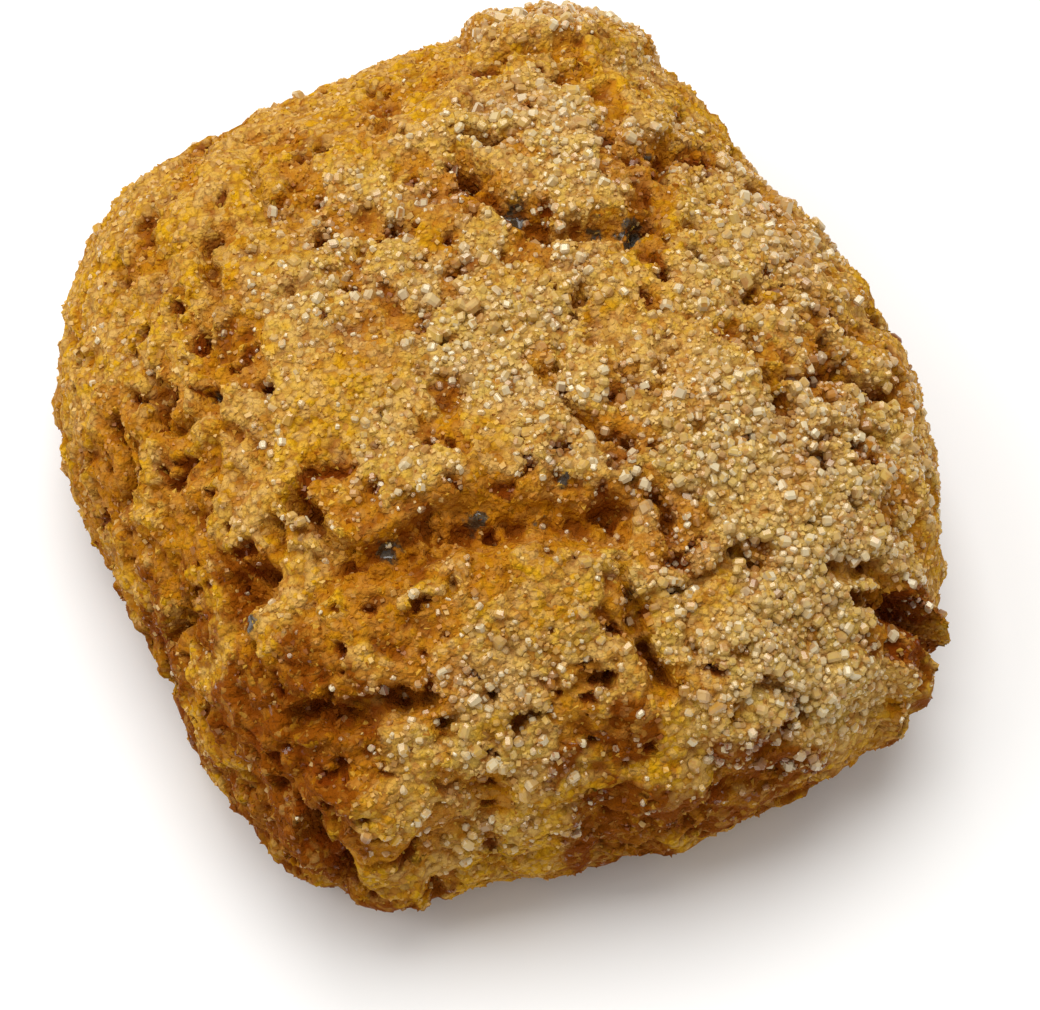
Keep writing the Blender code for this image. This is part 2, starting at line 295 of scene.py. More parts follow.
# %% Large relief
SWELL_SIZE, SWELL_HEIGHT = 10.0, 0.5
LUMP_SIZE, LUMP_HEIGHT = 2.6, 0.34
PLATE_SIZE, PLATE_STEP, PLATE_SLOPE = 6.0, 0.32, 0.5
SEAM_WIDTH, SEAM_DEPTH, SEAM_LENGTH = 0.4, 0.3, 7.0
RAG_SIZE, RAG_SHIFT = 2.0, 0.75
CRACK_WALL = (0.45, 1.1)
LIP_HEIGHT, LIP_WIDTH, LIP_PLACE = 0.12, 0.7, 1.8
TORN_WIDTH = 1.3
BREAK_SIZE, BREAK_DEPTH = 2.2, 1.25
RELIEF_FADES_BELOW, RELIEF_FULL_ABOVE = 0.5, 3.0
OPENS_ABOVE = (1.5, 5.0)
PORES = 46
PORE_RADII = (0.3, 0.65)
PORE_REACH = 17.5
PORE_WALL = (0.4, 1.1)
PORE_DEPTH = 0.7


def pore_seats():
    """Where the bubbles broke the upper crust, and how wide they are."""
    rng = random.Random(SEED)
    for _ in range(PORES):
        angle = rng.uniform(0, 2 * math.pi)
        reach = PORE_REACH * math.sqrt(rng.random())
        yield (reach * math.cos(angle), reach * math.sin(angle)), rng.uniform(*PORE_RADII)


def large_relief(points):
    """How far the crust stands out from the smooth dome, how deep it is cracked, and how torn."""
    ragged = points + RAG_SHIFT * noise_vectors(points, RAG_SIZE, SEED, 3)
    height = SWELL_HEIGHT * layered_noise(points, SWELL_SIZE, SEED)
    height += LUMP_HEIGHT * layered_noise(points, LUMP_SIZE, SEED + 4)
    border, _, number = cells(ragged, PLATE_SIZE, SEED + 60)
    height += PLATE_STEP * (number - 0.5) * blend(0, PLATE_SLOPE, border)
    seam = 1 - blend(0, SEAM_WIDTH, border)
    seam = seam * blend(-0.2, 0.5, noise(points, SEAM_LENGTH, SEED + 70))
    height -= SEAM_DEPTH * seam

    flat = ragged[:, :2]
    opened = np.zeros(len(points))
    lip = np.zeros(len(points))
    torn = np.zeros(len(points))
    whole = blend(-0.45, 0.05, noise(points, BREAK_SIZE, SEED + 80))
    floor, brink = CRACK_WALL
    for half_width, depth, route in CRACKS.values():
        gap = distance_to_route(flat, route)
        depth *= whole if depth < BREAK_DEPTH else 0.5 + 0.5 * whole
        opened = np.maximum(opened, depth * (1 - blend(floor * half_width, brink * half_width, gap)))
        curl = np.exp(-(((gap - LIP_PLACE * half_width) / LIP_WIDTH) ** 2))
        lip = np.maximum(lip, LIP_HEIGHT * curl)
        beside = 1 - blend(half_width, half_width + TORN_WIDTH, gap)
        torn = np.maximum(torn, blend(0.2, 1.2, depth) * beside)
    floor, brink = PORE_WALL
    for seat, radius in pore_seats():
        gap = np.linalg.norm(flat - seat, axis=1)
        opened = np.maximum(opened, PORE_DEPTH * (1 - blend(floor * radius, brink * radius, gap)))
    upper = blend(*OPENS_ABOVE, points[:, 2])
    height += upper * (lip - opened)
    for middle, half_length, half_width, turn, rise in PLATES.values():
        height += upper * rise * inside_plate(flat, middle, half_length, half_width, turn)
    return height, upper * opened + SEAM_DEPTH * seam, upper * torn


# %% [markdown]
# ## Skin, grains and small pits
# Close up the crust is sandy. Islands of thin skin are left on it. Ground almonds stick out as
# grains of about half a millimetre, most of all between the islands, over coarser crumb with
# small pits. Cells make the grains, and layered noise makes the skin, the crumb and the pits.
# Beside the cracks the skin is torn off, and in them the crumb is coarser.

# %% Fine relief
SKIN_SIZE, SKIN_THICKNESS, SKIN_EDGE = 1.7, 0.3, 0.08
SKIN_EVERYWHERE, SKIN_WITH_SUGAR, SKIN_TORN = 0.16, 0.25, 0.5
GRAIN_SIZE, GRAIN_HEIGHT = 0.62, 0.2
CRUMB_SIZE, CRUMB_HEIGHT = 0.95, 0.36
PIT_SIZE, PIT_DEPTH, PIT_FROM, PIT_EDGE = 0.85, 0.5, 0.37, 0.12
SKIN_CLOSES_PITS = 0.22
TEAR_SIZE, TEAR_SHIFT = 0.9, 0.25


def fine_relief(points, opened, torn, sugar):
    """The height of skin, grains and pits, and how much of a pit and of the skin there is."""
    bent = points + TEAR_SHIFT * noise_vectors(points, TEAR_SIZE, SEED + 100, 2)
    hold = SKIN_EVERYWHERE + SKIN_WITH_SUGAR * sugar - SKIN_TORN * torn
    skin = blend(-SKIN_EDGE, SKIN_EDGE, layered_noise(bent, SKIN_SIZE, SEED + 260, 3) + hold)
    _, seat, number = cells(bent, GRAIN_SIZE, SEED + 140)
    grain = (1 - blend(0, 0.75 * GRAIN_SIZE, seat)) * (0.4 + 0.6 * number)
    crumb = layered_noise(bent, CRUMB_SIZE, SEED + 180, 3)
    rough = 1.25 - 0.5 * skin + 1.5 * blend(0.2, 0.9, opened)
    hollow = layered_noise(bent, PIT_SIZE, SEED + 220, 2) - SKIN_CLOSES_PITS * skin
    pit = blend(PIT_FROM, PIT_FROM + PIT_EDGE, hollow)
    height = SKIN_THICKNESS * skin - PIT_DEPTH * pit
    height += rough * (GRAIN_HEIGHT * (grain - 0.4) + CRUMB_HEIGHT * crumb)
    return height, pit, skin


# %% [markdown]
# ## Where the sugar lies and where the crust browned
# Sugar was strewn by hand, so it lies in patches: thick on the right and on the top plate,
# thin at the left. Bare crust at the corners browned more. Round the foot the crust is made
# browner too, partly for real browning and partly as painted shade on the low walls. In a few
# small spots the sugar melted to dark caramel. Each of these maps takes the strongest of some
# soft round patches, seen from above.

# %% Sugar, browning and caramel maps
# Each patch: its middle, its radius and its strength.
SUGAR_PATCHES = (
    ((12.5, -7.2), 7.0, 1.0),
    ((12.5, -14.0), 5.0, 0.95),
    ((2.8, 9.8), 5.2, 0.65),
    ((-0.6, -1.6), 8.5, 0.55),
    ((1.0, -17.2), 5.0, 0.6),
    ((11.5, 4.4), 5.5, 0.55),
    ((-3.6, 5.6), 5.5, 0.4),
    ((-5.0, 1.0), 5.5, 0.42),
    ((3.5, 17.5), 4.0, 0.6),
)
RUST_PATCHES = (
    ((-9.0, -17.2), 4.2, 1.0),
    ((-13.6, -11.0), 4.5, 0.6),
    ((5.8, -19.0), 3.6, 0.8),
    ((-13.8, -3.4), 3.8, 0.3),
    ((-3.0, -10.6), 5.5, 0.26),
    ((19.0, -11.0), 3.0, 0.6),
    ((12.5, -18.8), 4.2, 0.8),
    ((-7.0, -20.6), 3.4, 0.6),
)
CARAMEL_PATCHES = (
    ((0.9, 5.6), 0.9, 1.0),
    ((4.6, 4.9), 0.8, 0.8),
    ((6.3, 5.0), 1.1, 1.0),
    ((6.9, 9.4), 0.9, 0.7),
    ((3.1, -7.4), 0.5, 1.0),
    ((-0.5, -8.9), 0.9, 0.9),
    ((2.2, -9.0), 0.7, 0.8),
    ((-4.3, -10.2), 1.0, 0.9),
    ((-9.8, -12.6), 0.9, 0.9),
    ((-12.0, -2.6), 0.8, 0.7),
    ((6.0, -11.9), 0.8, 0.7),
)
SUGAR_EVERYWHERE = 0.06
FOOT_BROWNING_AND_SHADE = 0.55
# Sugar thickens upwards between the first two heights, and the foot's browning and painted
# shade fade between the others.
SUGAR_LIES = (4, 10)
FOOT_BROWNING_AND_SHADE_FADES = (2.0, 7.5)


def patches(points, table):
    """The strongest patch at each point."""
    strongest = np.zeros(len(points))
    for middle, radius, strength in table:
        gap = np.linalg.norm(points[:, :2] - middle, axis=1)
        strongest = np.maximum(strongest, strength * np.exp(-((gap / radius) ** 2)))
    return strongest


print(len(SUGAR_PATCHES), "patches of sugar,", len(RUST_PATCHES), "of rust-brown crust")
print(len(CARAMEL_PATCHES), "spots of caramel")


# %% [markdown]
# ## The crust mesh
# A ball made of evenly divided triangles is pushed out to the crust along its own rays. The
# triangles are worth most on the dome, so before that the ball is turned inside its own skin:
# nearly four fifths of its faces land above the waist, and few on the base, which is flat.

# %% Rays that favour the dome
CUTS = 98
BALL_TURNS = (0, 123, 154, 180)
DOME_TURNS = (0, 90, 112, 180)


def even_ball():
    """A ball of 20 large triangles, each cut into a grid of small ones."""
    ball = bmesh.new()
    bmesh.ops.create_icosphere(ball, subdivisions=1, radius=1)
    bmesh.ops.subdivide_edges(ball, edges=ball.edges, cuts=CUTS, use_grid_fill=True)
    for vertex in ball.verts:
        vertex.co.normalize()
    return ball


def dome_rays(ball):
    """Directions for the ball's points, most of them above the waist."""
    rays = np.array([vertex.co for vertex in ball.verts])
    turn = np.degrees(np.arccos(np.clip(rays[:, 2], -1, 1)))
    lean = np.radians(np.interp(turn, BALL_TURNS, DOME_TURNS))
    flat = rays[:, :2] / np.maximum(np.linalg.norm(rays[:, :2], axis=1, keepdims=True), 1e-9)
    return np.column_stack([flat * (np.sin(lean) * RIM_RADIUS)[:, None], np.cos(lean) * (TOP - WAIST)])


# %% [markdown]
# The maps are kept on the mesh as attributes, one number for each point. They tell the
# materials where the crust is cracked, pitted, skinned, sugared or browned, and where it lies
# low or deep, which the materials darken as painted shade. They tell the scatter where sugar
# and crumbs can lie. Nothing is strewn on the base, which touches the tray.

# %% Push the ball out to the crust
STREWN_ABOVE = (0.6, 1.6)
CLUMP_SIZE = 2.4


def crust_points(rays):
    """The crust's points along the rays, and a dictionary of its maps."""
    smooth = rays / fullness(rays)[:, None]
    normals = outward(smooth)
    smooth += (*MIDDLE, WAIST)
    height, opened, torn = large_relief(smooth)
    sugar = SUGAR_EVERYWHERE + patches(smooth, SUGAR_PATCHES)
    # Painted shade as well as browning: the low walls at the foot are made browner.
    low = 1 - blend(*FOOT_BROWNING_AND_SHADE_FADES, smooth[:, 2])
    rust = np.maximum(patches(smooth, RUST_PATCHES), FOOT_BROWNING_AND_SHADE * low)
    fine, pit, skin = fine_relief(smooth, opened, np.maximum(torn, 0.8 * rust), sugar)
    fade = blend(RELIEF_FADES_BELOW, RELIEF_FULL_ABOVE, smooth[:, 2])
    points = smooth + normals * ((height + fine) * fade)[:, None]
    points[:, 2] = np.maximum(points[:, 2], 0)
    kept = blend(*STREWN_ABOVE, points[:, 2])
    patchy = noise(smooth, CLUMP_SIZE, SEED + 300) + 0.9 * sugar
    sugar *= (1 - 0.8 * blend(0.2, 0.8, opened)) * blend(*SUGAR_LIES, smooth[:, 2]) * (0.5 + 0.5 * skin)
    sugar *= blend(-0.5, 0.5, patchy) * (1 - 0.8 * np.clip(rust, 0, 1))
    maps = {
        "opened": blend(0, 1.3, opened),
        # Where the cracks are deepest, for painted shade in them.
        "deep": blend(0.9, 1.8, opened),
        "pit": pit * fade,
        "skin": skin,
        "sugar": np.clip(sugar, 0, 1),
        "sand": kept * (0.18 + 0.8 * sugar) * (1 - 0.85 * np.clip(rust + opened, 0, 1)),
        "crumbly": kept * (1 - 0.4 * skin) * (1 - 0.2 * np.clip(rust, 0, 1)),
        "rust": rust,
        "caramel": patches(smooth, CARAMEL_PATCHES),
        # How high the grain stands; the materials paint shade where it is low.
        "relief": np.clip(0.5 + fine - SKIN_THICKNESS * skin, 0, 1),
    }
    return points, maps


def make_crust():
    """The crust as a smooth-shaded mesh in metres, with its maps as attributes."""
    ball = even_ball()
    points, maps = crust_points(dome_rays(ball))
    mesh = bpy.data.meshes.new("crust")
    ball.to_mesh(mesh)
    ball.free()
    mesh.vertices.foreach_set("co", (points * MM).ravel())
    for name, values in maps.items():
        layer = mesh.attributes.new(name, "FLOAT", "POINT")
        layer.data.foreach_set("value", values)
    mesh.shade_smooth()
    mesh.update()
    crust = bpy.data.objects.new("crust", mesh)
    bpy.context.scene.collection.objects.link(crust)
    return crust


crust = make_crust()
print("crust:", len(crust.data.polygons), "faces")

# %% [markdown]
# ## Shader groups
# Crust, crumbs and sugar all take their colour from the same baked dough, so one node group
# works it out from the maps on the mesh, and every material uses it with its own values. The
# group also draws the single grains of almond meal, with painted shade in the gaps between
# them, and puts out the same pattern as a height, so that the bump and the colour agree. It
# also paints shade into low places, pits and cracks. A second group makes the fuzz that is
# finer still, as a height for a Bump node.


# %% Helpers for node trees
def add_node(tree, kind, inputs=None, **settings):
    """Adds a node, sets its properties, and gives each named input a value or a link."""
    node = tree.nodes.new(kind)
    for name, value in settings.items():
        setattr(node, name, value)
    for name, value in (inputs or {}).items():
        if isinstance(value, bpy.types.NodeSocket):
            tree.links.new(value, node.inputs[name])
        else:
            node.inputs[name].default_value = value
    return node


def new_group(name, kind, inputs, outputs):
    """A node group with named sockets: (name, socket type, default value)."""
    group = bpy.data.node_groups.new(name, kind)
    for label, socket_type, default in inputs:
        socket = group.interface.new_socket(label, in_out="INPUT", socket_type=socket_type)
        if default is not None:
            socket.default_value = default
    for label, socket_type in outputs:
        group.interface.new_socket(label, in_out="OUTPUT", socket_type=socket_type)
    return group, group.nodes.new("NodeGroupInput"), group.nodes.new("NodeGroupOutput")


def mix_colour(tree, share, first, second):
    """The first colour, going over to the second as the share rises."""
    mix = add_node(tree, "ShaderNodeMix", data_type="RGBA")
    for name, value in (("Factor_Float", share), ("A_Color", first), ("B_Color", second)):
        socket = next(s for s in mix.inputs if s.identifier == name)
        if isinstance(value, bpy.types.NodeSocket):
            tree.links.new(value, socket)
        else:
            socket.default_value = value
    return next(s for s in mix.outputs if s.identifier == "Result_Color")


def ramp(tree, value, low, high):
    """0 where the value is below low, 1 where it is above high; it falls if low is the higher."""
    node = add_node(tree, "ShaderNodeMapRange", {"Value": value, "From Min": low, "From Max": high})
    node.interpolation_type = "SMOOTHSTEP"
    return node.outputs["Result"]


def math_node(tree, operation, first, second):
    node = add_node(tree, "ShaderNodeMath", {0: first, 1: second}, operation=operation)
    return node.outputs[0]


# %% [markdown]
# The colour is laid on in thin coats, from the skin to the deepest cracks. A mask says where
# each coat lies and a number says how strongly. Noise in the masks keeps their edges ragged.
# The dark coats in the gaps, low places, pits and cracks are painted shade.

# %% Baked colour group
# Repeats of each pattern per metre, and how far the meal's borders are bent, in metres.
BLOTCHES, DRIFTS, SPECKLES, MEAL, WOBBLES = 260, 420, 2100, 2900, 3000
MEAL_BEND = 0.0003


def make_baked_colour_and_shade():
    group, entry, leave = new_group(
        "baked_colour_and_shade",
        "ShaderNodeTree",
        [
            ("Golden", "NodeSocketColor", (0.59, 0.3, 0.005, 1)),
            ("Pale", "NodeSocketColor", (0.60, 0.39, 0.085, 1)),
            ("Tan", "NodeSocketColor", (0.59, 0.36, 0.12, 1)),
            ("Crumb", "NodeSocketColor", (0.40, 0.13, 0.002, 1)),
            ("Rust", "NodeSocketColor", (0.21, 0.052, 0.001, 1)),
            # A dark red-brown, used as painted shade in gaps, low places, pits and deep cracks.
            ("Painted Shade", "NodeSocketColor", (0.17, 0.027, 0.0005, 1)),
            ("Caramel", "NodeSocketColor", (0.055, 0.034, 0.017, 1)),
            # How strongly painted shade darkens the gaps between grains of meal.
            ("Gap Darkness", "NodeSocketFloat", 0.42),
        ],
        [("Colour", "NodeSocketColor"), ("Glaze", "NodeSocketFloat"), ("Grain", "NodeSocketFloat")],
    )
    maps = {
        name: add_node(group, "ShaderNodeAttribute", attribute_name=name).outputs["Fac"]
        for name in ("opened", "deep", "pit", "skin", "sugar", "rust", "caramel", "relief")
    }
    place = add_node(group, "ShaderNodeTexCoord").outputs["Object"]

    def noise_at(scale, detail):
        inputs = {"Vector": place, "Scale": scale, "Detail": detail}
        return add_node(group, "ShaderNodeTexNoise", inputs).outputs

    def coat(under, top, mask, strength):
        """The colour under, with a named colour laid over it where the mask is high."""
        share = math_node(group, "MULTIPLY", mask, strength)
        return mix_colour(group, share, under, entry.outputs[top])

    broad = noise_at(BLOTCHES, 4)[0]
    drift = noise_at(DRIFTS, 3)[0]
    speckle = noise_at(SPECKLES, 3)[0]
    wobble = add_node(
        group,
        "ShaderNodeVectorMath",
        {0: noise_at(WOBBLES, 2)["Color"], "Scale": MEAL_BEND},
        operation="SCALE",
    )
    bent = add_node(group, "ShaderNodeVectorMath", {0: place, 1: wobble.outputs[0]}).outputs[0]
    meal = add_node(group, "ShaderNodeTexVoronoi", {"Vector": bent, "Scale": MEAL}).outputs
    tone = add_node(group, "ShaderNodeSeparateColor", {"Color": meal["Color"]}).outputs

    # The skin is golden, paler under sugar, with tanned and toasted drifts and flecks.
    sugared = ramp(group, math_node(group, "ADD", maps["sugar"], speckle), 0.4, 1.1)
    colour = mix_colour(group, sugared, entry.outputs["Golden"], entry.outputs["Pale"])
    colour = coat(colour, "Tan", ramp(group, drift, 0.45, 0.62), 0.4)
    colour = coat(colour, "Crumb", ramp(group, broad, 0.48, 0.72), 0.6)
    colour = coat(colour, "Crumb", ramp(group, speckle, 0.54, 0.72), 0.6)

    # Each grain of meal is a little lighter or darker, and painted shade darkens the gaps between them.
    colour = coat(colour, "Tan", ramp(group, tone[0], 0.45, 0.8), 0.55)
    colour = coat(colour, "Crumb", ramp(group, tone[1], 0.3, 0.0), 0.6)
    gap = ramp(group, meal["Distance"], 0.42, 0.75)
    colour = coat(colour, "Painted Shade", gap, entry.outputs["Gap Darkness"])

    # Where the skin is gone, and in the cracks, the orange crumb shows.
    bare = math_node(group, "SUBTRACT", speckle, maps["skin"])
    colour = coat(colour, "Crumb", ramp(group, bare, -0.2, 0.5), 0.65)
    torn = ramp(group, math_node(group, "ADD", maps["opened"], speckle), 0.6, 1.1)
    colour = coat(colour, "Crumb", torn, 0.45)

    # Rust-brown patches have uneven edges, and about a quarter of their grains are browned less.
    uneven = math_node(group, "MULTIPLY", ramp(group, drift, 0.42, 0.6), 0.6)
    uneven = math_node(group, "ADD", uneven, broad)
    uneven = math_node(group, "MULTIPLY", uneven, ramp(group, maps["rust"], 0.1, 0.45))
    rusty = ramp(group, math_node(group, "ADD", maps["rust"], uneven), 0.95, 1.42)
    most = math_node(group, "MULTIPLY", ramp(group, tone[2], 0.9, 0.6), rusty)
    rusty = math_node(group, "MAXIMUM", math_node(group, "MULTIPLY", rusty, 0.6), most)
    colour = mix_colour(group, rusty, colour, entry.outputs["Rust"])

    # Painted shade makes low places, pits and deep cracks darkest, and melted sugar is nearly black.
    colour = coat(colour, "Painted Shade", ramp(group, maps["relief"], 0.48, 0.2), 0.75)
    deep = math_node(group, "MULTIPLY", ramp(group, maps["opened"], 0.6, 1.3), 0.25)
    deep = math_node(group, "MAXIMUM", deep, math_node(group, "MULTIPLY", maps["deep"], 0.85))
    deep = math_node(group, "MAXIMUM", deep, math_node(group, "MULTIPLY", maps["pit"], 0.75))
    colour = mix_colour(group, deep, colour, entry.outputs["Painted Shade"])
    burnt = ramp(group, math_node(group, "ADD", maps["caramel"], speckle), 1.1, 1.35)
    colour = mix_colour(group, burnt, colour, entry.outputs["Caramel"])
    group.links.new(colour, leave.inputs["Colour"])

    # Glaze lies in drops on the rust, thinly in the cracks, and thick on the caramel.
    drops = math_node(group, "MULTIPLY", rusty, ramp(group, speckle, 0.6, 0.68))
    thin = math_node(group, "MULTIPLY", ramp(group, maps["opened"], 0.5, 1.0), 0.35)
    glaze = math_node(group, "MAXIMUM", math_node(group, "MAXIMUM", drops, thin), burnt)
    group.links.new(glaze, leave.inputs["Glaze"])
    group.links.new(math_node(group, "SUBTRACT", 1.0, meal["Distance"]), leave.inputs["Grain"])
    return group


baked_colour_and_shade = make_baked_colour_and_shade()
print("baked colour group:", len(baked_colour_and_shade.nodes), "nodes")


# %% Fine grain group
def make_fine_grain():
    group, entry, leave = new_group(
        "fine_grain",
        "ShaderNodeTree",
        [("Grain Size", "NodeSocketFloat", 0.00025)],
        [("Height", "NodeSocketFloat")],
    )
    place = add_node(group, "ShaderNodeTexCoord").outputs["Object"]
    scale = math_node(group, "DIVIDE", 1.0, entry.outputs["Grain Size"])
    bumps = add_node(group, "ShaderNodeTexVoronoi", {"Vector": place, "Scale": scale}).outputs["Distance"]
    fuzz = add_node(group, "ShaderNodeTexNoise", {"Vector": place, "Scale": scale, "Detail": 5})
    lowered = math_node(group, "MULTIPLY", bumps, 0.7)
    height = math_node(group, "SUBTRACT", fuzz.outputs[0], lowered)
    group.links.new(height, leave.inputs["Height"])
    return group


fine_grain = make_fine_grain()
print("fine grain group:", len(fine_grain.nodes), "nodes")

# %% [markdown]
# ## The crust's finish
# Dry biscuit is matt. It gets a little gloss only where sugar melted into a glaze: thinly in
# the cracks, in small drops on the rust-brown patches, and as a shiny coat on the caramel
# spots. The grain of the meal and the finer fuzz are added up into one bump.


# %% Helpers for materials
WARM_GLEAM = (1.0, 0.75, 0.4, 1)


def use_group(tree, group, **inputs):
    """A node group in a material, with its own values for the named inputs."""
    node = add_node(tree, "ShaderNodeGroup", node_tree=group)
    for name, value in inputs.items():
        node.inputs[name.replace("_", " ")].default_value = value
    return node


def start_material(name):
    material = bpy.data.materials.new(name)
    material.use_nodes = True
    tree = material.node_tree
    return material, tree, tree.nodes["Principled BSDF"]


def add_bump(tree, shader, height, depth, strength):
    """Tilts the shader's normals by a height that is too fine to model."""
    bump = add_node(tree, "ShaderNodeBump", {"Height": height, "Distance": depth, "Strength": strength})
    tree.links.new(bump.outputs["Normal"], shader.inputs["Normal"])


# %% Crust material
DRY_ROUGHNESS, GLAZED_ROUGHNESS = 0.75, 0.25
COATED_ABOVE = 0.65
FUZZ_SIZE, FUZZ_SHARE = 0.00018, 0.6
GRAIN_BUMP = 0.00018


def make_crust_material():
    material, tree, shader = start_material("baked_crust")
    colour = use_group(tree, baked_colour_and_shade)
    tree.links.new(colour.outputs["Colour"], shader.inputs["Base Color"])
    glaze = colour.outputs["Glaze"]
    rough = add_node(
        tree,
        "ShaderNodeMapRange",
        {"Value": glaze, "To Min": DRY_ROUGHNESS, "To Max": GLAZED_ROUGHNESS},
    )
    tree.links.new(rough.outputs["Result"], shader.inputs["Roughness"])
    fuzz = use_group(tree, fine_grain, Grain_Size=FUZZ_SIZE)
    fuzz = math_node(tree, "MULTIPLY", fuzz.outputs["Height"], FUZZ_SHARE)
    height = math_node(tree, "ADD", colour.outputs["Grain"], fuzz)
    add_bump(tree, shader, height, GRAIN_BUMP, 1.0)
    tree.links.new(ramp(tree, glaze, COATED_ABOVE, 1.0), shader.inputs["Coat Weight"])
    shader.inputs["Coat Roughness"].default_value = 0.12
    shader.inputs["Specular IOR Level"].default_value = 0.08
    shader.inputs["Specular Tint"].default_value = WARM_GLEAM
    return material


crust_material = make_crust_material()
crust.data.materials.append(crust_material)
print("crust material:", crust_material.name)

# %% [markdown]
# ## Things to scatter
# A sugar crystal is a block with cut edges, never quite square. Crumbs are small broken shards
# of the same dough, with eight uneven sides. A few of each are made here in different random
# shapes and kept in collections that the scatter picks from. They have few faces, because
# each is repeated thousands of times.

# %% Crystals and crumbs
KINDS = 6
SHARD_REACH, SHARD_DENT = 0.58, 0.14
CORNER_WEAR = (0.6, 1.0)
STRETCH = ((0.8, 1.3), (0.7, 1.0), (0.6, 0.9))


def one_shape(name, rng, shard, bevel):
    """A block or a shard about 1 m across, which the scatter scales down."""
    shape = bmesh.new()
    if shard:
        for axis in (*np.eye(3), *-np.eye(3)):
            dent = [rng.uniform(-SHARD_DENT, SHARD_DENT) for _ in range(3)]
            shape.verts.new(SHARD_REACH * axis + dent)
        bmesh.ops.convex_hull(shape, input=shape.verts)
    else:
        bmesh.ops.create_cube(shape, size=1)
    for vertex in shape.verts:
        vertex.co = Vector(c * rng.uniform(*CORNER_WEAR) for c in vertex.co)
    stretch = [rng.uniform(*limits) for limits in STRETCH]
    for vertex in shape.verts:
        vertex.co *= Vector(stretch)
    if bevel:
        bmesh.ops.bevel(shape, geom=shape.edges, offset=bevel, segments=1, affect="EDGES")
    bmesh.ops.triangulate(shape, faces=shape.faces)
    bmesh.ops.recalc_face_normals(shape, faces=shape.faces)
    mesh = bpy.data.meshes.new(name)
    shape.to_mesh(mesh)
    shape.free()
    return bpy.data.objects.new(name, mesh)


def shape_kinds(name, shard=False, bevel=0.0):
    """A collection of a few different shapes, which stays out of the scene."""
    rng = random.Random(name)
    kinds = bpy.data.collections.new(name)
    for number in range(KINDS):
        kinds.objects.link(one_shape(f"{name}_{number}", rng, shard, bevel))
    return kinds


cut_crystals = shape_kinds("cut_crystal", bevel=0.16)
plain_crystals = shape_kinds("plain_crystal")
crumb_shards = shape_kinds("crumb_lump", shard=True)
for kinds in (cut_crystals, plain_crystals, crumb_shards):
    print(kinds.name, [len(shape.data.polygons) for shape in kinds.objects], "faces")

# %% [markdown]
# ## The scatter, as Geometry Nodes
# Thousands of grains follow one rule, which is what Geometry Nodes are for. The tree drops
# points on the crust, more of them where a map is high, sinks each one a little along the
# normal, gives it one of the shapes, turned and sized at random, and keeps a random shade
# number for its colour. It ends in real mesh, because instances don't survive an export. Each
# face of that mesh then gets a tone of its own, from the way it faces and its grain's shade;
# the sugar uses that tone as painted refraction.


# %% Scatter tree
SHADE_SEED, TURN_SEED = 7, 11
SHADE_SPREAD, FACET_SCALE = 90, 1.6


def used_output(node):
    """The output that fits the node's data type."""
    return next(socket for socket in node.outputs if socket.enabled)


